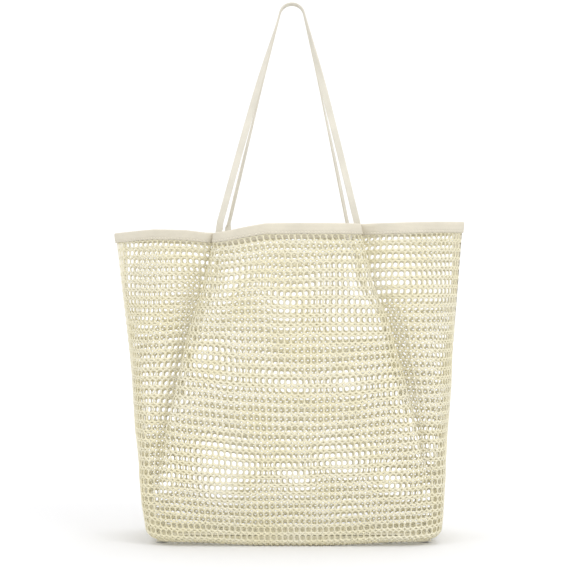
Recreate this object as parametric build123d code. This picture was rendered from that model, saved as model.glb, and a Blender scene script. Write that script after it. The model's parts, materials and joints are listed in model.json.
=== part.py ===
from build123d import *

import os
from math import atan2, cos, hypot, pi, radians, sin

# A large mesh beach bag: two net panels sewn together at the sides and under the middle of a
# boxed bottom, with a fabric tape folded over the rim and two long thin shoulder handles.
# Millimetres. +X is to the right, -Y is the front, +Z is up.
# The origin is on the surface that the bag stands on, under the middle of the mouth.

# ---- driving dimensions -------------------------------------------------------------------
rim_height = 362.0
base_width = 335.0
base_depth = 160.0
base_corner_radius = 28.0
mouth_span = 406.0  # from side corner to side corner at the rim
base_shift = 5.0  # the soft bag leans a little, so its bottom sits right of its mouth
belly = 10.0  # how far the cloth bows out at half height
crease_top = 340.0  # the creases below the handle ends start at this height
crease_depth = 11.5  # how far they go in, two thirds of the way up
crease_spread = 7.0  # how far they bow apart, half way up
net_thickness = 1.6

binding_height = 11.0
tape_thickness = 1.1
seam_tape_width = 12.0
side_seam_width = 12.0  # the bound edges of a side seam stand this far into the bag
side_seam_thickness = 2.4

front_handle_spacing = 156.0  # between the two ends of the front handle
back_handle_spacing = 145.0  # the back one is gathered a little closer
handle_rise = 258.0  # from the hinge line to the top of the loop
handle_width = 7.5
handle_thickness = 1.6
handle_peak_offset = 3.5  # the top of the loop is a little right of the middle
loop_radius = 15.0
loop_half_angle = 74.0  # how far each side of the top the round part of the loop goes
hinge_above_rim = 4.0
strap_start = 1.4  # above the hinge line, so that the slanted end clears the sewn end below
handle_gap = 1.5  # between the two handles where they lie side by side at the top
tab_depth = 14.0  # how far a sewn handle end goes down behind the rim tape
clearance = 0.3

thread = 0.7
stitch_length = 4.0
stitch_spacing = 7.0
stitch_line = 9.3  # below the top of the rim
side_stitch_line = 3.0  # from the inner edge of a side seam's bound edges
bar_tack_width = 6.0
bar_tack_depths = (3.5, 10.0)  # below the top of the rim

# ---- places worked out from them ----------------------------------------------------------
half_base = base_width / 2
half_depth = base_depth / 2
half_mouth = mouth_span / 2
front_spacing = front_handle_spacing / 2
back_spacing = back_handle_spacing / 2
round_part = base_corner_radius * (1 - cos(pi / 4))

# One quarter of the outline, from the side seam to the middle of the front, in plan.
# The bottom is a rounded rectangle.
base_quarter = [
    (half_base, 0),
    (half_base, -0.5 * (half_depth - base_corner_radius)),
    (half_base, -(half_depth - base_corner_radius)),
    (half_base - round_part, -(half_depth - round_part)),
    (half_base - base_corner_radius, -half_depth),
    (0.5 * (half_base - base_corner_radius), -half_depth),
    (0, -half_depth),
]


def mouth_quarter(spacing):
    """The same quarter at the mouth, which has soft lobes.

    The cloth is pulled back where a handle is sewn on, at half its spacing from the middle,
    and it bows out between the two ends and towards the side corners.
    """
    return [
        (half_mouth, 0),
        (half_mouth - 25, -29),
        (half_mouth - 66, -55),
        (spacing + 2, -50),
        (spacing - 22, -68),
        (spacing - 46, -80),
        (0, -86),
    ]


crease = 3  # which of these points is in the crease that runs down from a handle's end

# Heights at which the outline is drawn, with how far the rounded bottom edge is drawn in.
bottom_edge = [(0.0, 9.0), (2.5, 3.5), (9.0, 0.0)]
wall_heights = [60.0, 120.0, 180.0, 240.0, 300.0, crease_top, rim_height]


def panel_points(height, spacing):
    """One panel's outline at one height, from the left side seam to the right one.

    It is drawn as the front panel. The back one is its mirror image.
    """
    up = height / rim_height
    bow = belly * 4 * up * (1 - up)
    quarter = []
    for (base_x, base_y), (mouth_x, mouth_y) in zip(base_quarter, mouth_quarter(spacing)):
        y = base_y + (mouth_y - base_y) * up
        quarter.append((base_x + (mouth_x - base_x) * up, y + bow * y / half_depth))
    crease_up = min(height / crease_top, 1)
    crease_x, crease_y = quarter[crease]
    crease_x += crease_spread * 4 * crease_up * (1 - crease_up)
    crease_y += crease_depth * 27 / 4 * crease_up * crease_up * (1 - crease_up)
    quarter[crease] = (crease_x, crease_y)
    left = [(-x, y) for x, y in quarter]
    right = quarter[-2::-1]
    return [(x + base_shift * (1 - up), y) for x, y in left + right]


def moved_in(points, inset):
    """The same points moved into the bag, square to the outline."""
    moved = []
    for before, point, after in zip([None] + points, points, points[1:] + [None]):
        if before is None or after is None:
            other = after if before is None else before
            run_x, run_y = other[0] - point[0], other[1] - point[1]
            slant = abs(run_y) / hypot(run_x, run_y)
            side = 1 if before is None else -1
            moved.append((point[0] + side * inset / slant, 0))
            continue
        run_x, run_y = after[0] - before[0], after[1] - before[1]
        length = hypot(run_x, run_y)
        moved.append((point[0] - inset * run_y / length, point[1] + inset * run_x / length))
    return moved


def panel_line(height, inset, spacing, facing=1):
    """One panel's outline as one smooth edge, at the front, or at the back if facing is -1."""
    points = moved_in(panel_points(height, spacing), inset)
    return Spline([(x, facing * y, height) for x, y in points])


def outline(height, inset=0.0):
    """The whole outline at one height, as a flat face."""
    front = panel_line(height, inset, front_spacing)
    back = panel_line(height, inset, back_spacing, facing=-1)
    return make_face([front, back])


def bag_form(inset, floor=0.0, overshoot=0.0):
    """The bag as if it were solid, its walls moved in by inset and its bottom up by floor."""
    layers = []
    for height, drawn_in in bottom_edge:
        layers.append(outline(height + floor, drawn_in + inset))
    for height in wall_heights:
        layers.append(outline(height, inset))
    form = loft(layers, ruled=True)
    if overshoot:
        form += extrude(outline(rim_height, inset), overshoot)
    return form


def slab(low, high, y_low=-200.0, y_high=200.0, x_low=-300.0, x_high=300.0):
    """A block that spans the given ranges, for cutting pieces out of the bag's form."""
    size = (x_high - x_low, y_high - y_low, high - low)
    middle = ((x_low + x_high) / 2, (y_low + y_high) / 2, (low + high) / 2)
    return Pos(*middle) * Box(*size)


corner_tape_x = half_base - bottom_edge[0][1] - net_thickness - clearance - seam_tape_width / 2

front_half = slab(-10, 900, y_high=0)
back_half = slab(-10, 900, y_low=0)


def net_shell():
    """Both net panels in one: a thin wall with a flat bottom, open at the top."""
    inner = bag_form(net_thickness, floor=net_thickness, overshoot=5.0)
    shell = bag_form(0) - inner
    return shell & slab(-1, rim_height - tape_thickness)


def rim_tape(shell):
    """The tape that is folded over the rim, with the net's top edge inside it."""
    inner = bag_form(net_thickness + tape_thickness, floor=net_thickness, overshoot=5.0)
    outer = bag_form(-tape_thickness)
    band = (outer - inner) & slab(rim_height - binding_height, rim_height)
    return band - shell


side_seam_low = bottom_edge[-1][0] + net_thickness
side_seam_high = rim_height - binding_height - clearance


def seam_x(height, side):
    """Where one side seam is, on the outside of the net."""
    return panel_points(height, front_spacing)[0 if side < 0 else -1][0]


def side_tape(side):
    """The bound edges of one side seam, which stand into the bag from the seam.

    They run from the rounded bottom edge up to the rim tape.
    """
    heights = [side_seam_low] + wall_heights[:-1] + [side_seam_high]
    half = side_seam_thickness / 2
    faces = []
    for height in heights:
        outer = seam_x(height, side)
        inner = outer - side * (net_thickness + side_seam_width)
        corners = [(outer, -half), (outer, half), (inner, half), (inner, -half)]
        faces.append(make_face(Polyline(*[(x, y, height) for x, y in corners], close=True).edges()))
    return loft(faces, ruled=True) & bag_form(net_thickness)


def flat_tape(x, length_x, length_y):
    """A tape that lies flat on the inside of the bottom, x to the right of its middle."""
    lying = (Align.CENTER, Align.CENTER, Align.MIN)
    place = Pos(base_shift + x, 0, net_thickness)
    return place * Box(length_x, length_y, tape_thickness, align=lying)


def bottom_tape():
    """The tape over the seam along the middle of the bottom, between the corner tapes."""
    return flat_tape(0, 2 * (corner_tape_x - seam_tape_width / 2), seam_tape_width)


def corner_tape(side):
    """The tape over the seam across one end of the bottom, where the corners are boxed."""
    length = base_depth - 2 * base_corner_radius
    return flat_tape(side * corner_tape_x, seam_tape_width, length)


# ---- handles ------------------------------------------------------------------------------
hinge_height = rim_height + hinge_above_rim
loop_turn = radians(loop_half_angle)


def hinge_place(spacing):
    """The Y of a handle's hinge line, drawn as at the front.

    The sewn ends lie flat on the inside of the rim tape, where it reaches furthest in.
    """
    line = panel_line(rim_height, net_thickness + tape_thickness, spacing)
    places = [line @ (step / 600) for step in range(601)]
    reach = []
    for foot in (-spacing, spacing):
        reach += [place.Y for place in places if abs(place.X - foot) <= handle_width / 2]
    return max(reach) + handle_thickness / 2


def loop_line(spacing):
    """A loop's middle line in its own plane: across, up, and the way it runs."""
    stations = []
    arc_steps, leg_steps = 6, 22
    for side in (-1, 1):
        tip_x = handle_peak_offset + side * loop_radius * sin(loop_turn)
        tip_up = handle_rise - loop_radius * (1 - cos(loop_turn))
        foot_x = side * spacing
        heading = atan2(tip_up, tip_x - foot_x)
        leg = []
        for step in range(leg_steps):
            up = strap_start + (tip_up - strap_start) * step / leg_steps
            x = foot_x + (tip_x - foot_x) * up / tip_up
            leg.append((x, up, heading if side < 0 else heading - pi))
        if side < 0:
            stations += leg
            for step in range(2 * arc_steps + 1):
                angle = loop_turn * (step / arc_steps - 1)
                x = handle_peak_offset + loop_radius * sin(angle)
                up = handle_rise - loop_radius * (1 - cos(angle))
                stations.append((x, up, -angle))
        else:
            stations += leg[::-1]
    return stations


def strap_turn(up):
    """How far the flat strap has turned at one height: flat at the rim, edge-on at the top."""
    part = min(1.0, max(0.0, (up - 0.2 * handle_rise) / (0.6 * handle_rise)))
    return pi / 2 * part * part * (3 - 2 * part)


def strap(spacing):
    """A handle, one flat strap that goes up from its two ends to a narrow loop."""
    hinge_y = hinge_place(spacing)
    top_y = -(handle_gap + handle_width) / 2
    tilt = atan2(top_y - hinge_y, handle_rise)
    to_side = Vector(0, cos(tilt), -sin(tilt))
    faces = []
    for x, up, heading in loop_line(spacing):
        turned = strap_turn(up) if x <= handle_peak_offset else pi - strap_turn(up)
        centre = Vector(x, hinge_y + up * sin(tilt), hinge_height + up * cos(tilt))
        in_plane = Vector(-sin(heading), cos(heading) * sin(tilt), cos(heading) * cos(tilt))
        across = in_plane * cos(turned) + to_side * sin(turned)
        through = to_side * cos(turned) - in_plane * sin(turned)
        half_w, half_t = across * (handle_width / 2), through * (handle_thickness / 2)
        corners = [
            centre + half_w + half_t,
            centre - half_w + half_t,
            centre - half_w - half_t,
            centre + half_w - half_t,
        ]
        faces.append(make_face(Polyline(*corners, close=True).edges()))
    return loft(faces, ruled=True)


def sewn_end(side, spacing):
    """A sewn end of a handle, flat on the inside of the rim tape."""
    low = rim_height - tab_depth
    high = hinge_height - handle_thickness / 2 - 2 * clearance
    middle = (side * spacing, hinge_place(spacing), (low + high) / 2)
    return Pos(*middle) * Box(handle_width, handle_thickness, high - low)


def bar_tacks():
    """The short bars of thick thread that hold each handle end to the tape, two on each."""
    bars = []
    for spacing, facing in ((front_spacing, 1), (back_spacing, -1)):
        y = facing * (hinge_place(spacing) + handle_thickness / 2)
        for foot in (-spacing, spacing):
            for below_rim in bar_tack_depths:
                place = Pos(foot, y, rim_height - below_rim)
                bars.append(place * Box(bar_tack_width, thread, 2 * thread))
    return bars


# ---- thread -------------------------------------------------------------------------------
def rim_stitches(spacing):
    """The row of stitches along the lower edge of one panel's rim tape."""
    line = panel_line(rim_height - stitch_line, -tape_thickness, spacing)
    count = int(line.length / stitch_spacing)
    stitches = []
    for step in range(count):
        along = (step + 0.5) / count
        place = Plane(line @ along, x_dir=line % along, z_dir=(0, 0, 1))
        stitches.append(place * Box(stitch_length, thread, thread))
    return stitches


def side_stitches(side):
    """The row of stitches up each face of one side seam's bound edges."""
    low = side_seam_low + stitch_length
    high = side_seam_high - stitch_length
    from_seam = net_thickness + side_seam_width - side_stitch_line
    count = int((high - low) / stitch_spacing)
    stitches = []
    for step in range(count):
        height = low + (high - low) * (step + 0.5) / count
        x = seam_x(height, side) - side * from_seam
        for y in (-side_seam_thickness / 2, side_seam_thickness / 2):
            stitches.append(Pos(x, y, height) * Box(thread, thread, stitch_length))
    return stitches


def bottom_stitches():
    """The two rows of stitches along the bottom seam tape."""
    top = net_thickness + tape_thickness
    reach = corner_tape_x - seam_tape_width / 2
    row_y = seam_tape_width / 2 - 1.5
    count = int(2 * reach / stitch_spacing)
    stitches = []
    for step in range(count):
        x = base_shift + reach * (2 * (step + 0.5) / count - 1)
        for y in (-row_y, row_y):
            stitches.append(Pos(x, y, top) * Box(stitch_length, thread, thread))
    return stitches


# ---- the pieces ---------------------------------------------------------------------------
def placed(shape, facing):
    """A shape drawn as at the front, on the front, or on the back if facing is -1."""
    return shape if facing > 0 else mirror(shape, about=Plane.XZ)


def write(name, shape):
    """One STEP file for one sub-part."""
    if isinstance(shape, list):
        shape = Compound(children=shape)
    export_step(shape, os.path.join("parts", name + ".step"))


def main():
    os.makedirs("parts", exist_ok=True)
    shell = net_shell()
    tape = rim_tape(shell)
    write("front_panel", shell & front_half)
    write("back_panel", shell & back_half)
    write("front_rim_binding", tape & front_half)
    write("back_rim_binding", tape & back_half)
    write("bottom_seam_tape", bottom_tape())
    write("bottom_seam_stitches", bottom_stitches())
    for name, side in (("left", -1), ("right", 1)):
        write(name + "_side_seam_tape", side_tape(side))
        write(name + "_corner_seam_tape", corner_tape(side))
        write(name + "_side_stitches", side_stitches(side))
    for name, facing, spacing in (("front", 1, front_spacing), ("back", -1, back_spacing)):
        write(name + "_handle", placed(strap(spacing), facing))
        write(name + "_left_handle_end", placed(sewn_end(-1, spacing), facing))
        write(name + "_right_handle_end", placed(sewn_end(1, spacing), facing))
        write(name + "_rim_stitches", [placed(s, facing) for s in rim_stitches(spacing)])
    write("handle_bar_tacks", bar_tacks())


main()
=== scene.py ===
import json
from math import atan2, cos, pi, radians, sin

import bpy
import numpy as np
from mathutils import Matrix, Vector


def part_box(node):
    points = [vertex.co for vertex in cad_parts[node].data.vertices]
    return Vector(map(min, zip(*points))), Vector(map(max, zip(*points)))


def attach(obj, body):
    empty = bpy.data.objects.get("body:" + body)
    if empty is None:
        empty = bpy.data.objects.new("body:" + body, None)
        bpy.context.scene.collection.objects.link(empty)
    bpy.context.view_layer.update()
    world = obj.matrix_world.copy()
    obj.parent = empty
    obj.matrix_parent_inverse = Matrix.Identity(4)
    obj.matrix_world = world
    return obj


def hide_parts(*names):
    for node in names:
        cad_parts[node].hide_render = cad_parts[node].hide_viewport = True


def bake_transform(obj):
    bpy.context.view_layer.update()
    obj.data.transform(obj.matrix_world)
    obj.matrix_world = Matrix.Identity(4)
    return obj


# A large mesh beach bag: two net panels with open knitted cells, sewn together at the sides and
# under a boxed bottom, a ribbed tape folded over the rim, and two long thin shoulder straps.
# Shapes are worked out in millimetres, in the CAD frame, and scaled once, in make_mesh.

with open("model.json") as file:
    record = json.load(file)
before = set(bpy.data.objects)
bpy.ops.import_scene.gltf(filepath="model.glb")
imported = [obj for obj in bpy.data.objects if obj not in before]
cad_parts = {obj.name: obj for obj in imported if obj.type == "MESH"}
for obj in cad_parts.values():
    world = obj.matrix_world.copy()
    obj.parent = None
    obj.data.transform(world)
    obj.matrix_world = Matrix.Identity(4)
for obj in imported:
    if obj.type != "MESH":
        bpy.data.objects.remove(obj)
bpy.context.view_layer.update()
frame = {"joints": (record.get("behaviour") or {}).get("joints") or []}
MM = 0.001


def cad_box(node):
    """A CAD node's lowest and highest corners, in millimetres."""
    low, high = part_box(node)
    return np.array(low) / MM, np.array(high) / MM


# ---- sizes from the frame -----------------------------------------------------------------
rim_low, rim_high = cad_box("front_rim_binding")
bottom_tape_low, bottom_tape_high = cad_box("bottom_seam_tape")
rim_height = rim_high[2]
binding_height = rim_high[2] - rim_low[2]
base_shift = (bottom_tape_low[0] + bottom_tape_high[0]) / 2  # of the bottom, to the right

# ---- the cloth ----------------------------------------------------------------------------
columns, rows = 72, 36  # knitted cells in one panel
cell_width, cell_height = 7.0, 10.2
bar_half_thickness = 0.9
edge_radius = 9.0  # of the rounded bottom edge
corner_radius = 28.0  # of the bottom's corners in plan
net_top = rim_height - 1.2  # the net ends inside the folded tape
column_steps, row_steps = 8, 4  # lattice steps to each cell

# One half of the outline in plan, from the side seam to the middle of the front, at seven
# heights given as shares of the rim's height. Where a strap is sewn on, at the sixth and
# seventh points, the cloth is pulled back. The hollow fades into the rounded corner below.
outlines = [
    (0.00, [(167.5, 0), (167.5, -28), (167.5, -52), (164, -65), (158, -72), (152, -76),
            (145, -78.5), (136, -80), (124, -81), (106, -81), (72, -81), (36, -81), (0, -81)]),
    (0.20, [(174.6, 0), (175, -33), (172.5, -57), (168, -67), (162, -71), (155.5, -69.5),
            (150, -71), (146.5, -76.5), (138, -82), (118, -86.5), (80, -90), (40, -92),
            (0, -92.5)]),
    (0.50, [(185, 0), (182, -32), (168, -59), (154, -67), (144, -65.5), (134, -59.5),
            (126, -58.5), (129.5, -65.5), (128.5, -72), (119, -82), (91, -92.5), (46, -98),
            (0, -99.5)]),
    (0.66, [(191, 0), (183.5, -26), (168, -50), (150, -62.5), (134, -61.5), (122, -52),
            (111, -50), (115, -56.5), (114.5, -63), (107.5, -74), (84, -88), (43, -97),
            (0, -99.5)]),
    (0.80, [(196, 0), (186, -22.5), (167, -44.5), (145, -57.5), (124, -58), (108.5, -48.5),
            (97, -46.5), (101.5, -53), (101, -59.5), (94, -71), (75, -85.5), (39, -95.5),
            (0, -98)]),
    (0.93, [(200.5, 0), (187.5, -19.5), (165, -41), (138, -55), (114, -57.5), (97.5, -50),
            (86, -46.5), (90.5, -53), (90, -59.5), (83.5, -70), (65, -83), (33, -92), (0, -95)]),
    (1.00, [(203, 0), (189, -16.5), (167, -37), (140, -52.5), (109, -58.5), (92, -52),
            (79, -49), (82.5, -54), (84.5, -61), (78.5, -70.5), (60, -81.5), (31, -89),
            (0, -91.5)]),
]
# How the cloth laps over itself at a strap where it folds most, for the sixth to eleventh points.
lap = [(-4.8, -5.5), (5, -0.3), (-5.5, 1.5), (0, -0.5), (1, -0.5), (0, -0.5)]
lap_points = slice(5, 11)
lap_start = 0.84  # the share of the height at which the lap begins
valley = 6  # which point of an outline is at the bottom of the hollow
# How much of a strap's gather each point of the outline takes, and where the gather begins.
gather_shares = np.array([0, 0, 0, 0.3, 0.7, 1, 1, 1, 1, 0.8, 0.4, 0, 0])
gather_start, gather_full = 0.68, 0.82

# How far the rim stands above or below its even height, from left to right.
rim_wave = [(-203, -8.3), (-155, -5.2), (-118, -6.4), (-95, -9.3), (-83, -9.6), (-70, -8),
            (-55, -5), (-43, -2.7), (-27, -0.1), (-10, 0.3), (40, 0.6), (75, 0.4), (120, 2),
            (203, 5.1)]
level_row = 0.69  # the share of the height at which the rows run level
# Below it the rows sag in the middle of the front.
row_sag = [(0.0, 0), (0.05, 3), (0.2, 7), (0.35, 10), (0.5, 8), (level_row, 0)]
# How far the rounded bottom edge is lifted towards its corners, from the middle out.
corner_lift = [(0, 0), (30, 0), (60, 1.0), (100, 3.4), (130, 4.2), (150, 5.4), (170, 8.5)]
corner_lift_depth = 45.0  # how far in from the edge the lift dies out on the flat bottom
corner_lift_fade = (5, 60)  # the heights between which it dies out up the wall
sag_start = 40  # the height by which the rows sag in full


def smoothstep(value, low=0.0, high=1.0):
    part = np.clip((np.asarray(value, float) - low) / (high - low), 0, 1)
    return part * part * (3 - 2 * part)


def soft_noise(seed, shape, cells):
    """Smooth random values from -1 to 1 on a grid, with about cells bumps each way."""
    rng = np.random.default_rng(seed)
    values = rng.uniform(-1, 1, (cells[0] + 2, cells[1] + 2))
    for axis in (0, 1):
        place = np.linspace(0, cells[axis], shape[axis])
        whole = np.minimum(place.astype(int), cells[axis])
        part = smoothstep(place - whole)
        low = np.take(values, whole, axis=axis)
        high = np.take(values, whole + 1, axis=axis)
        part = part[:, None] if axis == 0 else part[None, :]
        values = low + (high - low) * part
    return values


def smooth_line(points, steps):
    """A smooth line through points, drawn with centripetal knots, steps to each span."""
    points = np.asarray(points, float)
    ends = (2 * points[0] - points[1], 2 * points[-1] - points[-2])
    p = np.vstack([ends[0], points, ends[1]])
    knots = np.concatenate([[0], np.cumsum(np.sqrt(np.linalg.norm(np.diff(p, axis=0), axis=1)))])
    k0, k1, k2, k3 = (knots[i:len(knots) - 3 + i, None, None] for i in range(4))
    p0, p1, p2, p3 = (p[i:len(p) - 3 + i, None, :] for i in range(4))
    t = k1 + (k2 - k1) * (np.arange(steps) / steps)[None, :, None]
    a1 = ((k1 - t) * p0 + (t - k0) * p1) / (k1 - k0)
    a2 = ((k2 - t) * p1 + (t - k1) * p2) / (k2 - k1)
    a3 = ((k3 - t) * p2 + (t - k2) * p3) / (k3 - k2)
    b1 = ((k2 - t) * a1 + (t - k0) * a2) / (k2 - k0)
    b2 = ((k3 - t) * a2 + (t - k1) * a3) / (k3 - k1)
    line = ((k2 - t) * b1 + (t - k1) * b2) / (k2 - k1)
    return np.vstack([line.reshape(-1, points.shape[1]), points[-1]])


def between_levels(levels, values, place):
    """Values between the given levels, with an even slope through each of them."""
    levels, values = np.asarray(levels, float), np.asarray(values, float)
    slopes = np.gradient(values, levels, axis=0)
    i = int(np.clip(np.searchsorted(levels, place) - 1, 0, len(levels) - 2))
    span = levels[i + 1] - levels[i]
    t = (place - levels[i]) / span
    blend = 3 * t * t - 2 * t * t * t
    start = values[i] * (1 - blend) + slopes[i] * span * t * (1 - t) ** 2
    return start + values[i + 1] * blend - slopes[i + 1] * span * t * t * (1 - t)


def half_outline(share, lapped, gathered):
    """One half of the outline at one height, with the lap and the strap's gather added."""
    levels, shapes = zip(*outlines)
    points = between_levels(levels, shapes, share)
    points[lap_points] += np.array(lap) * lapped * smoothstep(share, lap_start, 1)
    points[:, 0] -= gathered * gather_shares * smoothstep(share, gather_start, gather_full)
    return points


def wall_lattice(facing, laps, gathers, seed):
    """One panel's wall as a lattice of points and outward directions.

    The first index is the column, from the left seam to the right one, and the second the row,
    from the bottom edge up. facing is -1 at the front and 1 at the back.
    """
    na, nb = columns * column_steps + 1, rows * row_steps + 1
    turn = edge_radius * pi / 2
    cloth_height = net_top - edge_radius + turn
    lattice = np.zeros((na, nb, 3))
    for j in range(nb):
        up = cloth_height * j / (nb - 1)
        angle = min(up / edge_radius, pi / 2)
        inset = edge_radius * (1 - sin(angle))
        z = edge_radius * (1 - cos(angle)) + max(0.0, up - turn)
        share = min(1.0, z / net_top)
        left = half_outline(share, laps[0], gathers[0]) * (-1, 1)
        right = half_outline(share, laps[1], gathers[1])[-2::-1]
        line = smooth_line(np.vstack([left, right]), 20)
        run = np.gradient(line, axis=0)
        run /= np.linalg.norm(run, axis=1)[:, None]
        line = line + inset * np.stack([-run[:, 1], run[:, 0]], axis=1)
        line[0, 1] = line[-1, 1] = 0
        lengths = np.concatenate([[0], np.cumsum(np.linalg.norm(np.diff(line, axis=0), axis=1))])
        place = np.linspace(0, lengths[-1], na)
        x = np.interp(place, lengths, line[:, 0])
        y = np.interp(place, lengths, line[:, 1])
        near_rim = np.clip((share - level_row) / (1 - level_row), 0, 1)
        rise = np.interp(x, *zip(*rim_wave)) * near_rim
        lobe = np.clip(1 - (x / right[-1 - valley, 0]) ** 2, 0, 1)
        sag = np.interp(share, *zip(*row_sag)) * lobe * min(1, z / sag_start)
        lift = np.interp(abs(x), *zip(*corner_lift)) * (1 - smoothstep(z, *corner_lift_fade))
        lattice[:, j, 0] = x + base_shift * (1 - share)
        lattice[:, j, 1] = -facing * y
        lattice[:, j, 2] = z + bar_half_thickness + rise - sag + lift
    lattice += wall_waves(lattice, facing, seed)
    return lattice, outward(lattice, facing)


def outward(lattice, facing):
    """The direction out of the bag at each lattice point."""
    across, up = np.gradient(lattice, axis=0), np.gradient(lattice, axis=1)
    normal = np.cross(across, up)
    normal /= np.linalg.norm(normal, axis=2)[:, :, None] + 1e-9
    return normal if facing < 0 else -normal


def wall_waves(lattice, facing, seed):
    """The slack cloth's soft waves, which die out at the seams, the rim and the bottom edge."""
    na, nb = lattice.shape[:2]
    column, row = np.linspace(0, 1, na)[:, None], np.linspace(0, 1, nb)[None, :]
    calm = smoothstep(column, 0, 0.05) * smoothstep(1 - column, 0, 0.05)
    calm = calm * smoothstep(row, 0.02, 0.15) * (0.35 + 0.65 * smoothstep(1 - row, 0.02, 0.2))
    wave = 1.3 * soft_noise(seed, (na, nb), (9, 6)) + 0.5 * soft_noise(seed + 1, (na, nb), (24, 14))
    return outward(lattice, facing) * (wave * calm)[:, :, None]


def on_lattice(grid, a, b):
    """The lattice's value at column a and row b, which needn't be whole."""
    a = np.clip(np.asarray(a, float) * column_steps, 0, grid.shape[0] - 1.000001)
    b = np.clip(np.asarray(b, float) * row_steps, 0, grid.shape[1] - 1.000001)
    i, j = a.astype(int), b.astype(int)
    fa, fb = (a - i)[..., None], (b - j)[..., None]
    low = grid[i, j] * (1 - fa) + grid[i + 1, j] * fa
    high = grid[i, j + 1] * (1 - fa) + grid[i + 1, j + 1] * fa
    return low * (1 - fb) + high * fb


# ---- meshes -------------------------------------------------------------------------------
def make_mesh(name, points, faces, cloth=None, material=None, body="bag", slot=None):
    """A smooth-shaded piece in metres. cloth is each point's place on the flat cloth, in mm."""
    mesh = bpy.data.meshes.new(name)
    mesh.from_pydata((np.asarray(points, float) * MM).tolist(), [], faces)
    mesh.polygons.foreach_set("use_smooth", np.ones(len(mesh.polygons), bool))
    if cloth is not None:
        place = mesh.attributes.new("cloth", "FLOAT_VECTOR", "POINT")
        place.data.foreach_set("vector", np.asarray(cloth, np.float32).ravel())
    mesh.update()
    piece = bpy.data.objects.new(name, mesh)
    bpy.context.scene.collection.objects.link(piece)
    if material:
        mesh.materials.append(material)
    if body:
        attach(piece, body)
    return piece


# One knitted cell, in shares of a cell: the line along the middle of its bars, the edge of its
# big hole, and a quarter of the small holes at its corners.
bar_line = [(0, 0.5), (0, 0.2), (0.22, 0.09), (0.5, 0), (0.78, 0.09), (1, 0.2), (1, 0.5),
            (1, 0.8), (0.78, 0.91), (0.5, 1), (0.22, 0.91), (0, 0.8)]
hole_half_size = (0.375, 0.295)
hole_squareness = 0.88
small_hole = [(0, 0.1), (0.2, 0)]
corner_bars = [(1, 2, 3), (5, 4, 3), (7, 8, 9), (11, 10, 9)]  # bar points round each corner
corner_signs = [(1, 1), (-1, 1), (-1, -1), (1, -1)]
cell_shake = (0.03, 0.012)  # how far a cell's bars stray, across and up, in cells
thickness_shake = 0.12  # how much thicker or thinner the bars get, as a share
calm_cells = 3  # the knit isn't pulled within this many cells of an edge
tiny = 1e-6  # places closer than this to an edge are on it
merge_steps = 2000  # steps to a cell, in which points that meet are told to be the same


def cell_pattern():
    """One side of one cell: its points, its four-cornered faces and its triangles."""
    points = list(bar_line)
    around = len(bar_line)
    for k in range(around):
        angle = pi - k * 2 * pi / around
        x, y = cos(angle), -sin(angle)
        reach = (abs(x) ** (2 / hole_squareness) + abs(y) ** (2 / hole_squareness))
        reach = reach ** (-hole_squareness / 2)
        points.append((0.5 + hole_half_size[0] * x * reach, 0.5 + hole_half_size[1] * y * reach))
    quads = [(k, (k + 1) % around, around + (k + 1) % around, around + k)
             for k in range(around)]
    triangles = []
    for (p, q, r), (sx, sy) in zip(corner_bars, corner_signs):
        start = len(points)
        for x, y in small_hole:
            points.append((x if sx > 0 else 1 - x, y if sy > 0 else 1 - y))
        turn = 1 if sx * sy > 0 else -1
        quads.append((q, start, start + 1, r)[::turn])
        triangles.append((p, start, q)[::turn])
    return np.array(points), quads, triangles


def on_border(places, size):
    """Which places, counted in cells, are on the edge of a net of size cells."""
    return (places < tiny).any(axis=1) | (places > np.array(size) - tiny).any(axis=1)


def knit(size):
    """A flat net of size cells: places in cells, the side each is lifted to, and the faces."""
    pattern, quads, triangles = cell_pattern()
    count = len(pattern)
    cells = np.stack(np.meshgrid(np.arange(size[0]), np.arange(size[1]), indexing="ij"), -1)
    one_side = (cells.reshape(-1, 1, 2) + pattern[None]).reshape(-1, 2)
    lifted = np.tile(np.arange(count) < len(bar_line), len(one_side) // count)
    lifted &= ~on_border(one_side, size)
    starts = np.arange(size[0] * size[1]) * count
    kinds = []
    for kind in (quads, triangles):
        front = (starts[:, None, None] + np.array(kind)[None]).reshape(-1, len(kind[0]))
        kinds.append(np.vstack([front, front[:, ::-1] + len(one_side)]))
    side = np.concatenate([np.where(lifted, 1, 0), np.where(lifted, -1, 0)])
    places = np.vstack([one_side, one_side])
    keys = np.round(np.column_stack([places * merge_steps, side])).astype(np.int64)
    _, first, merged = np.unique(keys, axis=0, return_index=True, return_inverse=True)
    faces = [corners for kind in kinds for corners in merged.ravel()[kind].tolist()]
    return places[first], side[first], faces


def knit_pull(places, size, seed):
    """Which way the knit is pulled at each place, smooth over many cells, none at the edges."""
    bumps = (size[0] // 7, size[1] // 6 + 1)
    across, up = np.minimum(places.astype(int), np.array(size) - 1).T
    part = places - np.stack([across, up], axis=1)
    pull = []
    for n in (1, 2):
        field = soft_noise(seed + n, (size[0] + 1, size[1] + 1), bumps)
        low = field[across, up] * (1 - part[:, 0]) + field[across + 1, up] * part[:, 0]
        high = field[across, up + 1] * (1 - part[:, 0]) + field[across + 1, up + 1] * part[:, 0]
        pull.append(low * (1 - part[:, 1]) + high * part[:, 1])
    from_edge = np.minimum(places, np.array(size) - places).min(axis=1)
    return np.stack(pull, axis=1) * np.clip(from_edge / calm_cells, 0, 1)[:, None]


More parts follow.
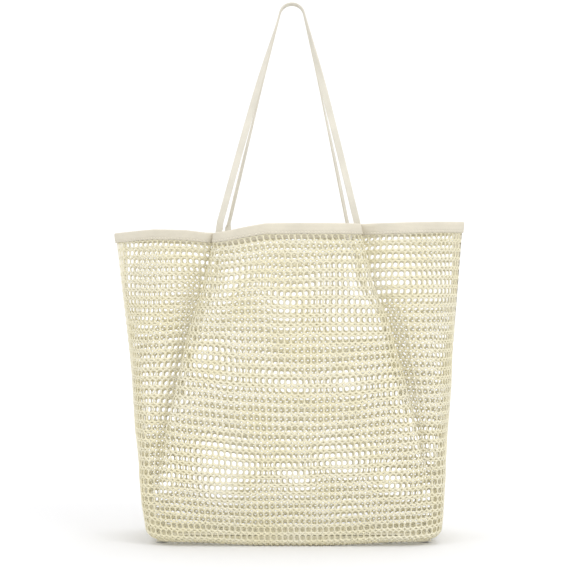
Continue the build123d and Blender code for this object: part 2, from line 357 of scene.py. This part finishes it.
def net(name, place, size, seed, material, slack=0.0):
    """A net of size cells, where place gives the point and the way out at a column and row.

    slack is how many cells the knit is pulled out of line, here and there.
    """
    places, side, faces = knit(size)
    rng = np.random.default_rng(seed)
    jitter = rng.uniform(-1, 1, (size[0] * 2 + 3, size[1] * 2 + 3, 3))
    near = np.round(places * 2).astype(int)
    shake = jitter[near[:, 0], near[:, 1]]
    inner = ~on_border(places, size)[:, None]
    moved = places + shake[:, :2] * cell_shake * inner + knit_pull(places, size, seed) * slack
    points, normals = place(moved[:, 0], moved[:, 1])
    thickness = bar_half_thickness * (1 + thickness_shake * shake[:, 2])
    points = points + normals * (side * thickness)[:, None]
    cloth = np.column_stack([places * (cell_width, cell_height), side])
    return make_mesh(name, points, faces, cloth, material, slot="mesh_net")


def closed_sweep(name, rings, cloth, capped=True, **rest):
    """A closed tube of any section: rings is stations by section points by 3."""
    stations, around = rings.shape[:2]
    i, k = np.meshgrid(np.arange(stations - 1), np.arange(around), indexing="ij")
    here, after = i * around + k, i * around + (k + 1) % around
    quads = np.stack([here, after, after + around, here + around], -1).reshape(-1, 4).tolist()
    if capped:
        quads.append(list(range(around))[::-1])
        quads.append([(stations - 1) * around + n for n in range(around)])
    return make_mesh(name, rings.reshape(-1, 3), quads, cloth.reshape(-1, 3), **rest)


def tape_section(width, thickness, steps=9, edge=0.5):
    """A flat tape's section, seen along it: a rectangle with soft rounded edges."""
    across = np.linspace(-1, 1, steps) * (width / 2 - edge)
    top = [(x, thickness / 2) for x in across]
    right = [(width / 2 - edge * (1 - cos(a)), thickness / 2 * sin(a)) for a in (0.9, 0, -0.9)]
    bottom = [(x, -thickness / 2) for x in across[::-1]]
    left = [(-x, -y) for x, y in right]
    return np.array(top + right + bottom + left)


def tape_piece(name, centre, across, through, width, thickness, seed, **rest):
    """A flat tape along centre, with across its width and through its thickness at each station."""
    section = tape_section(width, thickness)
    rng = np.random.default_rng(seed)
    along = np.concatenate([[0], np.cumsum(np.linalg.norm(np.diff(centre, axis=0), axis=1))])
    drift = np.convolve(rng.normal(0, 0.1, len(centre) + 8), np.ones(9) / 5, mode="valid")
    drift = drift[:, None, None]
    rings = (centre[:, None] + across[:, None] * (section[None, :, :1] * (1 + 0.03 * drift))
             + through[:, None] * section[None, :, 1:] + through[:, None] * drift * 0.3)
    cloth = np.zeros(rings.shape)
    cloth[:, :, 0] = along[:, None]
    cloth[:, :, 1:] = section
    return closed_sweep(name, rings, cloth, **rest)


def stitch_row(name, places, along, out, length, material, radius=0.36):
    """Small bowed lengths of thread, whose ends go down into the cloth."""
    places, along, out = (np.asarray(v, float) for v in (places, along, out))
    along /= np.linalg.norm(along, axis=1)[:, None]
    out /= np.linalg.norm(out, axis=1)[:, None]
    side = np.cross(along, out)
    stations, around = 7, 6
    points, faces, cloth = [], [], []
    for n, (place, run, lift, off) in enumerate(zip(places, along, out, side)):
        start = len(points)
        for i in range(stations):
            t = 2 * i / (stations - 1) - 1
            middle = place + run * (t * length / 2) + lift * (0.3 - 0.75 * t ** 4)
            size = radius * (1 - 0.35 * t * t)
            for k in range(around):
                angle = 2 * pi * k / around
                points.append(middle + size * (off * cos(angle) + lift * sin(angle)))
                cloth.append((n * length + t * length / 2, angle, 0))
        for i in range(stations - 1):
            for k in range(around):
                here = start + i * around + k
                after = start + i * around + (k + 1) % around
                faces.append([here, here + around, after + around, after])
        faces.append([start + k for k in range(around)])
        last = start + (stations - 1) * around
        faces.append([last + k for k in range(around)][::-1])
    return make_mesh(name, points, faces, cloth, material, "bag", "thread")


# ---- materials ----------------------------------------------------------------------------
weave_pitch = 0.7  # between the cross threads of the tapes
# Painted light: the floor is darker and a touch bluer than the backdrop. The backdrop, which gets
# less light, still shows white, and the warm light bounced off the bag is cancelled in the floor's
# shadow.
floor_colour, backdrop_colour = (0.82, 0.82, 0.83), (0.95, 0.95, 0.95)


def new_material(name, colour, roughness, sheen):
    material = bpy.data.materials.new(name)
    material.use_nodes = True
    nodes = material.node_tree.nodes
    shader = nodes["Principled BSDF"]
    shader.inputs["Base Color"].default_value = (*colour, 1)
    shader.inputs["Roughness"].default_value = roughness
    shader.inputs["Sheen Weight"].default_value = sheen
    shader.inputs["Sheen Roughness"].default_value = 0.5
    shader.inputs["Specular IOR Level"].default_value = 0.3
    return material, nodes, material.node_tree.links, shader


def cloth_place(nodes, links, scale):
    """The place on the flat cloth, in millimetres, scaled on each axis."""
    place = nodes.new("ShaderNodeAttribute")
    place.attribute_name = "cloth"
    scaled = nodes.new("ShaderNodeMapping")
    scaled.inputs["Scale"].default_value = scale
    links.new(place.outputs["Vector"], scaled.inputs["Vector"])
    return scaled.outputs["Vector"]


def noise_texture(nodes, links, vector, scale, detail=3.0, roughness=0.55):
    texture = nodes.new("ShaderNodeTexNoise")
    texture.inputs["Scale"].default_value = scale
    texture.inputs["Detail"].default_value = detail
    texture.inputs["Roughness"].default_value = roughness
    if vector is not None:
        links.new(vector, texture.inputs["Vector"])
    return texture.outputs["Fac"]


def ramp(nodes, links, value, stops):
    """A colour ramp between (place, colour) stops."""
    node = nodes.new("ShaderNodeValToRGB")
    elements = node.color_ramp.elements
    while len(elements) < len(stops):
        elements.new(0.5)
    for element, (place, colour) in zip(elements, stops):
        element.position = place
        element.color = (*colour, 1)
    links.new(value, node.inputs["Fac"])
    return node.outputs["Color"]


def mixed(nodes, links, kind, factor, one, two):
    node = nodes.new("ShaderNodeMix")
    node.data_type = "RGBA"
    node.blend_type = kind
    node.inputs["Factor"].default_value = factor
    links.new(one, node.inputs["A"])
    links.new(two, node.inputs["B"])
    return node.outputs["Result"]


def added_bump(nodes, links, height, strength, distance, before=None):
    node = nodes.new("ShaderNodeBump")
    node.inputs["Strength"].default_value = strength
    node.inputs["Distance"].default_value = distance * MM
    links.new(height, node.inputs["Height"])
    if before is not None:
        links.new(before, node.inputs["Normal"])
    return node.outputs["Normal"]


def object_place(nodes):
    return nodes.new("ShaderNodeTexCoord").outputs["Object"]


def around_colour(colour, amount):
    """Two colours a little darker and lighter than colour."""
    return tuple(c * (1 - amount) for c in colour), tuple(min(1, c * (1 + amount)) for c in colour)


def net_material():
    """Knitted yarn: loops along the bars, fine fibres, and patches a little yellower."""
    colour = (0.885, 0.84, 0.665)
    material, nodes, links, shader = new_material("net_yarn", colour, 0.62, 0.15)
    patches = noise_texture(nodes, links, object_place(nodes), 22.0, 2.0)
    yellow = tuple(c * f for c, f in zip(colour, (1.0, 0.985, 0.9)))
    base = ramp(nodes, links, patches, [(0.35, yellow), (0.65, around_colour(colour, 0.02)[1])])
    fibres = noise_texture(nodes, links, cloth_place(nodes, links, (1, 1, 1)), 2.4, 4.0, 0.65)
    shade = ramp(nodes, links, fibres, [(0.3, (0.9, 0.89, 0.86)), (0.62, (1, 1, 1))])
    links.new(mixed(nodes, links, "MULTIPLY", 1.0, base, shade), shader.inputs["Base Color"])
    loops = nodes.new("ShaderNodeTexWave")
    loops.wave_type = "BANDS"
    loops.bands_direction = "DIAGONAL"
    loops.inputs["Scale"].default_value = 0.9
    loops.inputs["Distortion"].default_value = 2.5
    loops.inputs["Detail"].default_value = 2.0
    loops.inputs["Detail Scale"].default_value = 1.5
    links.new(cloth_place(nodes, links, (1, 1, 1)), loops.inputs["Vector"])
    normal = added_bump(nodes, links, loops.outputs["Fac"], 0.5, 0.25)
    normal = added_bump(nodes, links, fibres, 0.5, 0.3, normal)
    links.new(normal, shader.inputs["Normal"])
    return material


def tape_material(name, colour, rib_pitch, rib_depth):
    """Ribbed tape: ribs along its length with painted shade between them, a fine cross weave, and
    slight colour changes.
    """
    material, nodes, links, shader = new_material(name, colour, 0.66, 0.2)
    darker, lighter = around_colour(colour, 0.05)
    patches = noise_texture(nodes, links, object_place(nodes), 45.0, 3.0)
    base = ramp(nodes, links, patches, [(0.3, darker), (0.7, lighter)])
    place = cloth_place(nodes, links, (1, 1, 1))
    ribs = nodes.new("ShaderNodeTexWave")
    ribs.bands_direction = "Y"
    ribs.inputs["Scale"].default_value = pi / 10 / rib_pitch
    ribs.inputs["Distortion"].default_value = 0.35
    ribs.inputs["Detail Scale"].default_value = 1.0
    links.new(place, ribs.inputs["Vector"])
    # Painted shade: the colour goes darker along the grooves between the ribs, in step with their
    # bump.
    shade = ramp(nodes, links, ribs.outputs["Fac"], [(0.0, (0.88, 0.87, 0.85)), (0.55, (1, 1, 1))])
    base = mixed(nodes, links, "MULTIPLY", 1.0, base, shade)
    fibres = noise_texture(nodes, links, cloth_place(nodes, links, (0.8, 2.5, 1)), 2.2, 4.0, 0.6)
    flecks = ramp(nodes, links, fibres, [(0.3, (0.93, 0.92, 0.9)), (0.6, (1, 1, 1))])
    links.new(mixed(nodes, links, "MULTIPLY", 1.0, base, flecks), shader.inputs["Base Color"])
    normal = added_bump(nodes, links, ribs.outputs["Fac"], 0.8, rib_depth)
    cross = nodes.new("ShaderNodeTexWave")
    cross.bands_direction = "X"
    cross.inputs["Scale"].default_value = pi / 10 / weave_pitch
    cross.inputs["Distortion"].default_value = 0.5
    links.new(place, cross.inputs["Vector"])
    normal = added_bump(nodes, links, cross.outputs["Fac"], 0.5, rib_depth * 0.6, normal)
    normal = added_bump(nodes, links, fibres, 0.4, 0.12, normal)
    links.new(normal, shader.inputs["Normal"])
    return material


def thread_material():
    """Twisted sewing thread, with painted shade and light along its twist."""
    colour = (0.80, 0.75, 0.62)
    material, nodes, links, shader = new_material("sewing_thread", colour, 0.45, 0.1)
    place = cloth_place(nodes, links, (1, 0.5, 1))
    twist = nodes.new("ShaderNodeTexWave")
    twist.bands_direction = "DIAGONAL"
    twist.inputs["Scale"].default_value = 1.1
    links.new(place, twist.inputs["Vector"])
    # Painted shade and light: the colour goes darker and lighter along the twist, in step with its
    # bump.
    darker, lighter = around_colour(colour, 0.1)
    links.new(ramp(nodes, links, twist.outputs["Fac"], [(0.2, darker), (0.8, lighter)]),
              shader.inputs["Base Color"])
    links.new(added_bump(nodes, links, twist.outputs["Fac"], 0.6, 0.15), shader.inputs["Normal"])
    return material


# ---- the camera ---------------------------------------------------------------------------
camera_distance = 2.0
camera = bpy.data.objects.new("camera", bpy.data.cameras.new("camera"))
camera.location = (-0.005, -camera_distance, 0.294)
camera.rotation_euler = (pi / 2, 0, 0)
camera.data.lens = 108
camera.data.sensor_width = 36
bpy.context.scene.collection.objects.link(camera)
bpy.context.scene.camera = camera

yarn = net_material()
rim_cloth = tape_material("rim_tape_cloth", (0.71, 0.665, 0.555), 1.3, 0.2)
# The seam tape's colour is partly its own pale beige and partly painted light: it is made lighter
# to make up for the shade it lies in behind the net.
seam_cloth = tape_material("seam_tape_cloth", (0.93, 0.89, 0.75), 1.6, 0.14)
strap_cloth = tape_material("strap_cloth", (0.745, 0.715, 0.63), 0.9, 0.16)
thread = thread_material()

# ---- the net panels -----------------------------------------------------------------------
# Each panel's laps and gathers are those of its left and right halves.
walls = {
    "front": wall_lattice(-1, laps=(1.0, 0.2), gathers=(0.0, 6.0), seed=11),
    "back": wall_lattice(1, laps=(0.4, 0.4), gathers=(6.0, 10.0), seed=23),
}
facings = {"front": -1, "back": 1}


def wall_place(name):
    lattice, normals = walls[name]
    return lambda a, b: (on_lattice(lattice, a, b), on_lattice(normals, a, b))


def bottom_place(facing, size):
    """Places on one half of the flat bottom, from the wall's edge in to the middle seam."""
    lattice = walls["front" if facing < 0 else "back"][0]
    edge = lattice[:, 0]
    half_x = (edge[-1, 0] - edge[0, 0]) / 2
    half_y = abs(edge[:, 1]).max()
    corner = corner_radius - edge_radius

    def place(a, b):
        y = half_y * (1 - b / size[1])
        past = np.clip(y - (half_y - corner), 0, corner)
        reach = half_x - corner + np.sqrt(corner ** 2 - past ** 2)
        x = base_shift + reach * (2 * a / size[0] - 1)
        near_side = half_x - abs(x - base_shift)
        from_edge = np.minimum(half_y - y, near_side)
        lift = np.interp(abs(x - base_shift), *zip(*corner_lift))
        z = bar_half_thickness + lift * np.clip(1 - from_edge / corner_lift_depth, 0, 1) ** 2
        points = np.stack([x, facing * y, z], axis=1)
        return points, np.tile((0.0, 0.0, -1.0), (len(x), 1))

    return place


bottom_cells = (46, 7)
for name, facing in facings.items():
    wall = net(name + "_net", wall_place(name), (columns, rows), 31 + 9 * facing, yarn,
               slack=0.1 if facing < 0 else 0.4)
    floor_net = net(name + "_bottom_net", bottom_place(facing, bottom_cells), bottom_cells,
                    41 + facing, yarn)
    inside_out = wall if facing > 0 else floor_net  # the one whose faces point inwards
    inside_out.data.flip_normals()
    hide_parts(name + "_panel")

# ---- the rim tapes ------------------------------------------------------------------------
tape_offset = 2.2  # from the middle of the net to the outside of the folded tape
inner_offset = 1.15
stitch_down = 9.2  # the row of stitches is this far below the tape's top
stitch_pitch, stitch_length = 3.6, 2.7
stitch_offset = tape_offset - 0.15
# The tape's section: how far out of the net, and how far below the top edge.
rim_section = [
    (tape_offset - 0.35, binding_height), (tape_offset, binding_height - 0.5),
    (tape_offset + 0.05, binding_height - 1.1), (tape_offset - 0.3, stitch_down),
    (tape_offset + 0.1, stitch_down - 0.8), (tape_offset + 0.2, 7.0), (tape_offset + 0.15, 5.0),
    (tape_offset + 0.05, 3.0), (tape_offset - 0.05, 1.6), (tape_offset - 0.5, 0.6), (1.0, 0.05),
    (0.0, -0.1),
]
rim_inside = [(inner_offset, 1.6), (inner_offset, 5.5), (inner_offset, binding_height)]


def rim_place(name, a, out, down):
    """Points on the rim: a columns along, out of the net, and down from the tape's top."""
    lattice, normals = walls[name]
    top = on_lattice(lattice, a, np.full(len(a), float(rows)))
    below = on_lattice(lattice, a, np.full(len(a), rows - 1.0))
    up = (top - below) / np.linalg.norm(top - below, axis=1)[:, None]
    normal = on_lattice(normals, a, np.full(len(a), float(rows)))
    edge = top + up * (rim_height - net_top)
    share = np.clip(np.asarray(down, float) / cell_height, 0, 1.2)
    middle = edge + (below - edge) * share[:, None]
    return middle + normal * np.asarray(out, float)[:, None], normal, up


def rim_tape(name):
    """The tape folded over one panel's top edge, drawn in a little at each stitch."""
    section = np.array(rim_section)
    inside = np.array(rim_inside)
    section = np.vstack([section, section[-2::-1] * (-1, 1), inside[::-1] * (-1, 1), inside])
    stations = columns * 8 + 1
    a = np.linspace(0.02, columns - 0.02, stations)
    pucker = 0.12 * np.cos(a * cell_width * 2 * pi / stitch_pitch)
    rng = np.random.default_rng(5 + len(name))
    drift = np.convolve(rng.normal(0, 0.35, stations + 30), np.ones(31) / 31, mode="valid")
    rings, cloth = [], []
    for out, down in section:
        near = np.exp(-((down - stitch_down) / 1.3) ** 2) * np.sign(out)
        low = np.clip(down / binding_height, 0, 1)
        at, _, _ = rim_place(name, a, out + pucker * near, down + drift * low)
        rings.append(at)
        cloth.append(np.stack([a * cell_width, np.full(stations, down), np.full(stations, out)], 1))
    piece = closed_sweep(name + "_rim_tape", np.stack(rings, 1), np.stack(cloth, 1),
                         material=rim_cloth, slot="rim_tape")
    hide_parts(name + "_rim_binding")


def rim_stitches(name):
    """The row of stitches along the tape's lower edge, and its back on the inside."""
    count = int(columns * cell_width / stitch_pitch)
    a = (np.arange(count) + 0.5) * columns / count
    places, along, out = [], [], []
    for side in (1, -1):
        off, down = np.full(count, side * stitch_offset), np.full(count, stitch_down)
        at, normal, _ = rim_place(name, a, off, down)
        ahead, _, _ = rim_place(name, a + 0.1, off, down)
        places.append(at)
        along.append(ahead - at)
        out.append(normal * side)
    piece = stitch_row(name + "_rim_thread", np.vstack(places), np.vstack(along), np.vstack(out),
                       stitch_length, thread)
    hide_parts(name + "_rim_stitches")


for name in facings:
    rim_tape(name)
    rim_stitches(name)


# ---- the side seams -----------------------------------------------------------------------
seam_width, seam_thickness = 14.5, 1.9
seam_gap = 0.7  # from the middle of the net to the middle of the bound edges
seam_stitch_pitch, seam_stitch_length = 3.8, 2.8
seam_stitch_across = 3.6  # from the middle of the binding to its row of stitches
seam_stitch_out = 0.85  # from the middle of the binding to the stitches on its faces


def side_seam(side, name, panel):
    """The bound edges of a side seam, folded flat against the inside of one panel's net."""
    low, high = cad_box(name + "_side_seam_tape")
    lattice, normals = walls[panel]
    end = 0 if side < 0 else columns
    width = seam_width / cell_width
    b = np.linspace(edge_radius * 1.3 / cell_height, (high[2] - 1.5) / net_top * rows, 130)
    middle = np.full(len(b), end - side * width / 2)
    inner, outer = np.full(len(b), end - side * width), np.full(len(b), end - side * 0.08)
    centre = on_lattice(lattice, middle, b) - on_lattice(normals, middle, b) * seam_gap
    across = on_lattice(lattice, inner, b) - on_lattice(lattice, outer, b)
    across /= np.linalg.norm(across, axis=1)[:, None]
    up = np.gradient(centre, axis=0)
    through = np.cross(across, up)
    through /= np.linalg.norm(through, axis=1)[:, None]
    piece = tape_piece(name + "_seam_binding", centre, across, through, seam_width,
                       seam_thickness, 71 + side, material=seam_cloth, slot="seam_tape")
    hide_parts(name + "_side_seam_tape")
    spots = np.linspace(2, len(b) - 3, int(np.ptp(centre[:, 2]) / seam_stitch_pitch))
    whole = spots.astype(int)
    along = up[whole] / np.linalg.norm(up[whole], axis=1)[:, None]
    at = centre[whole] + up[whole] * (spots - whole)[:, None] + across[whole] * seam_stitch_across
    face = through[whole]
    row = stitch_row(name + "_seam_thread",
                     np.vstack([at + face * seam_stitch_out, at - face * seam_stitch_out]),
                     np.vstack([along, along]), np.vstack([face, -face]),
                     seam_stitch_length, thread)
    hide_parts(name + "_side_stitches")


side_seam(-1, "left", "front")
side_seam(1, "right", "back")


# ---- the tapes inside the bottom ----------------------------------------------------------
cover_thickness = 1.1
cover_depth = 0.35  # from the CAD tape's top down to the cover's middle
cover_stitch_rows = (-4.5, 4.5)
cover_stitch_up = 0.45  # from the cover's middle up to its stitches


def bottom_seam(node, name, direction):
    """A tape over a seam of the bottom, along x or y. Returns its middle line and direction."""
    low, high = cad_box(node)
    middle = (low + high) / 2
    length = (high - low)[0 if direction == "x" else 1]
    width = (high - low)[1 if direction == "x" else 0]
    steps = int(length / 4)
    place = np.linspace(-length / 2, length / 2, steps)
    run = np.array((1.0, 0, 0)) if direction == "x" else np.array((0, 1.0, 0))
    centre = middle + place[:, None] * run
    centre[:, 2] = high[2] - cover_depth
    across = np.tile(np.cross((0, 0, 1), run), (steps, 1))
    through = np.tile((0.0, 0, 1), (steps, 1))
    piece = tape_piece(name, centre, across, through, width, cover_thickness, 83 + len(name),
                       material=seam_cloth, slot="seam_tape")
    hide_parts(node)
    return centre, run


def bottom_stitches(centre, run):
    """Two rows of stitches along the tape in the middle of the bottom."""
    count = int(np.ptp(centre[:, 0]) / seam_stitch_pitch)
    x = np.linspace(centre[0, 0] + 3, centre[-1, 0] - 3, count)
    z = np.full(count, centre[0, 2] + cover_stitch_up)
    places = np.vstack([np.stack([x, np.full(count, y), z], 1) for y in cover_stitch_rows])
    total = len(places)
    bottom_thread = stitch_row("bottom_seam_thread", places, np.tile(run, (total, 1)),
                               np.tile((0.0, 0, 1), (total, 1)), seam_stitch_length, thread)
    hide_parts("bottom_seam_stitches")


bottom_line, bottom_run = bottom_seam("bottom_seam_tape", "bottom_seam_cover", "x")
bottom_seam("left_corner_seam_tape", "left_corner_cover", "y")
bottom_seam("right_corner_seam_tape", "right_corner_cover", "y")
bottom_stitches(bottom_line, bottom_run)

# ---- the straps ---------------------------------------------------------------------------
joints = {j["name"]: j for j in frame["joints"]}
left_end_low, left_end_high = cad_box("front_left_handle_end")
strap_width = left_end_high[0] - left_end_low[0]
strap_thickness = left_end_high[1] - left_end_low[1]
loop_radius, loop_turn = 14.5, radians(74)  # the loop at the top, to each side of its peak
loop_peak = 3.0  # how far right of the middle the peak is
feet = {"front": (-79.0, 77.2), "back": (-72.5, 70.0)}  # where the straps' middles meet the rim
leg_bow = 0.8  # how far a leg bows outwards half way up
strap_gap = 1.5  # between the two straps at the top
leaning_length = 1.012  # a leaning strap's length for each unit of its height
sewn_lean = 0.02  # how much the sewn ends lean, behind the rim tape


def strap_leg(foot, side, rise, foot_depth):
    """One leg of a strap in its own plane, from behind the tape up to the start of the loop."""
    tip_x = loop_peak + side * loop_radius * sin(loop_turn)
    tip_up = rise - loop_radius * (1 - cos(loop_turn))
    leg = []
    for down in np.linspace(foot_depth, 1.5, 9):
        leg.append((foot - (tip_x - foot) * down / tip_up * 0.5, -down))
    for part in np.linspace(0, 1, 70)[:-1]:
        bow = leg_bow * sin(pi * part) * side
        leg.append((foot + (tip_x - foot) * part + bow, tip_up * part))
    return leg


def strap_line(name, rise, foot_depth):
    """The middle of a strap in its own plane: how far across, and how far up from the hinge."""
    left_foot, right_foot = feet[name]
    loop = [(loop_peak + loop_radius * sin(angle), rise - loop_radius * (1 - cos(angle)))
            for angle in np.linspace(-loop_turn, loop_turn, 33)]
    down_again = strap_leg(right_foot, 1, rise, foot_depth)[::-1]
    return np.array(strap_leg(left_foot, -1, rise, foot_depth) + loop + down_again)


def strap(name, facing, turn_range, base_turn):
    """One long strap, from behind the rim tape up to the loop and down again.

    It leaves the rim turned by base_turn, and turns edge-on over turn_range, given in shares of
    its height, because both straps hang side by side at the top.
    """
    hinge = np.array(joints[name + "_handle_fold"]["pos_m"]) / MM
    end_low, _ = cad_box(name + "_left_handle_end")
    _, top_high = cad_box(name + "_handle")
    hinge_y, hinge_z = -abs(hinge[1]), hinge[2]
    top_y = -(strap_width + strap_gap) / 2
    rise = (top_high[2] - hinge_z) * leaning_length
    tilt = atan2(top_y - hinge_y, rise)
    flat = strap_line(name, rise, hinge_z - end_low[2])
    height = flat[:, 1]
    lean = np.where(height > 0, sin(tilt), sewn_lean)
    centre = np.stack([flat[:, 0], hinge_y + height * lean,
                       hinge_z + np.where(height > 0, height * cos(tilt), height)], 1)
    run = np.gradient(flat, axis=0)
    run /= np.linalg.norm(run, axis=1)[:, None]
    turn = base_turn * smoothstep(height, -6.0, 1.5)
    share = np.clip(height, 0, None) / rise
    turn = turn + (pi / 2 - base_turn) * smoothstep(share, *turn_range)
    side_way = np.array((0, cos(tilt), -sin(tilt)))
    left_half = np.arange(len(flat)) <= len(flat) // 2
    turn = np.where(left_half, turn, pi - turn)
    in_plane = np.stack([-run[:, 1], run[:, 0] * sin(tilt), run[:, 0] * cos(tilt)], axis=1)
    across = in_plane * np.cos(turn)[:, None] + side_way * np.sin(turn)[:, None]
    through = side_way * np.cos(turn)[:, None] - in_plane * np.sin(turn)[:, None]
    mirror = (1, 1, 1) if facing < 0 else (1, -1, 1)
    body = name + "_handle"
    piece = tape_piece(name + "_strap", centre * mirror, across * mirror, through * mirror,
                       strap_width, strap_thickness, 91 + facing, material=strap_cloth, body=None,
                       slot="strap_tape")
    if facing > 0:
        piece.data.flip_normals()
    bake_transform(piece)
    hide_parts(body, name + "_left_handle_end", name + "_right_handle_end")


strap("front", -1, turn_range=(0.45, 1.0), base_turn=0.0)
strap("back", 1, turn_range=(0.1, 0.8), base_turn=radians(64))


tack_depths = (3.5, 10.0)  # of the two bars, below the rim
tack_stitches, tack_pitch, tack_length = 9, 0.72, 2.4
tack_lean = 0.35  # how much each zigzag stitch leans, to one side and the other


def bar_tack_threads():
    """Close zigzag stitches across each strap end, two bars to an end."""
    places, along, out = [], [], []
    for name, facing in facings.items():
        end_low, end_high = cad_box(name + "_left_handle_end")
        inner = min(abs(end_low[1]), abs(end_high[1]))
        for foot in feet[name]:
            for below in tack_depths:
                for k in range(tack_stitches):
                    x = foot + (k - tack_stitches // 2) * tack_pitch
                    places.append((x, facing * inner, rim_height - below))
                    along.append((tack_lean if k % 2 else -tack_lean, 0, 1))
                    out.append((0, -facing, 0))
    piece = stitch_row("bar_tack_thread", places, along, out, tack_length, thread, radius=0.32)
    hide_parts("handle_bar_tacks")


bar_tack_threads()


# ---- the stage ----------------------------------------------------------------------------
def stage_sweep():
    """A pale floor that curves up into a backdrop, painted lighter towards the back and up the
    backdrop to stand in for light.
    """
    bend, floor_back, top = 0.9, 2.2, 4.0
    profile = [(-6.0, 0.0), (-2.0, 0.0), (0.0, 0.0), (floor_back, 0.0)]
    for k in range(1, 13):
        angle = pi / 2 * k / 12
        profile.append((floor_back + bend * sin(angle), bend * (1 - cos(angle))))
    profile.append((floor_back + bend, top))
    points = [(x, y, z) for y, z in profile for x in (-6.0, 6.0)]
    faces = [(2 * i, 2 * i + 1, 2 * i + 3, 2 * i + 2) for i in range(len(profile) - 1)]
    mesh = bpy.data.meshes.new("studio_floor")
    mesh.from_pydata(points, [], faces)
    mesh.polygons.foreach_set("use_smooth", np.ones(len(mesh.polygons), bool))
    floor = bpy.data.objects.new("studio_floor", mesh)
    bpy.context.scene.collection.objects.link(floor)
    material, nodes, links, shader = new_material("pale_floor", floor_colour, 0.8, 0.0)
    depth = nodes.new("ShaderNodeSeparateXYZ")
    links.new(object_place(nodes), depth.inputs["Vector"])
    # Painted light: the colour ramps with depth from the darker floor to the lighter backdrop.
    tone = ramp(nodes, links, depth.outputs["Y"], [(0.3, floor_colour), (0.7, backdrop_colour)])
    links.new(tone, shader.inputs["Base Color"])
    mesh.materials.append(material)


def area_light(name, place, target, size, power):
    """A round soft light at place, turned towards target, in metres and watts."""
    light = bpy.data.lights.new(name, "AREA")
    light.shape = "DISK"
    light.size = size
    light.energy = power
    lamp = bpy.data.objects.new(name, light)
    lamp.location = place
    aim = np.array(target) - np.array(place)
    lamp.rotation_mode = "QUATERNION"
    lamp.rotation_quaternion = Vector(aim).to_track_quat("-Z", "Y")
    bpy.context.scene.collection.objects.link(lamp)


stage_sweep()
area_light("key_light", (1.8, -2.0, 2.3), (0, 0, 0.25), 2.2, 27)
area_light("fill_light", (-2.0, -2.0, 1.4), (0, 0, 0.25), 1.8, 11)
area_light("top_light", (0.2, 0.6, 2.8), (0, 0, 0.3), 1.6, 14)
world = bpy.data.worlds.new("studio")
world.use_nodes = True
world.node_tree.nodes["Background"].inputs["Color"].default_value = (1, 1, 1, 1)
world.node_tree.nodes["Background"].inputs["Strength"].default_value = 1.0
bpy.context.scene.world = world
bpy.context.scene.view_settings.view_transform = "Standard"
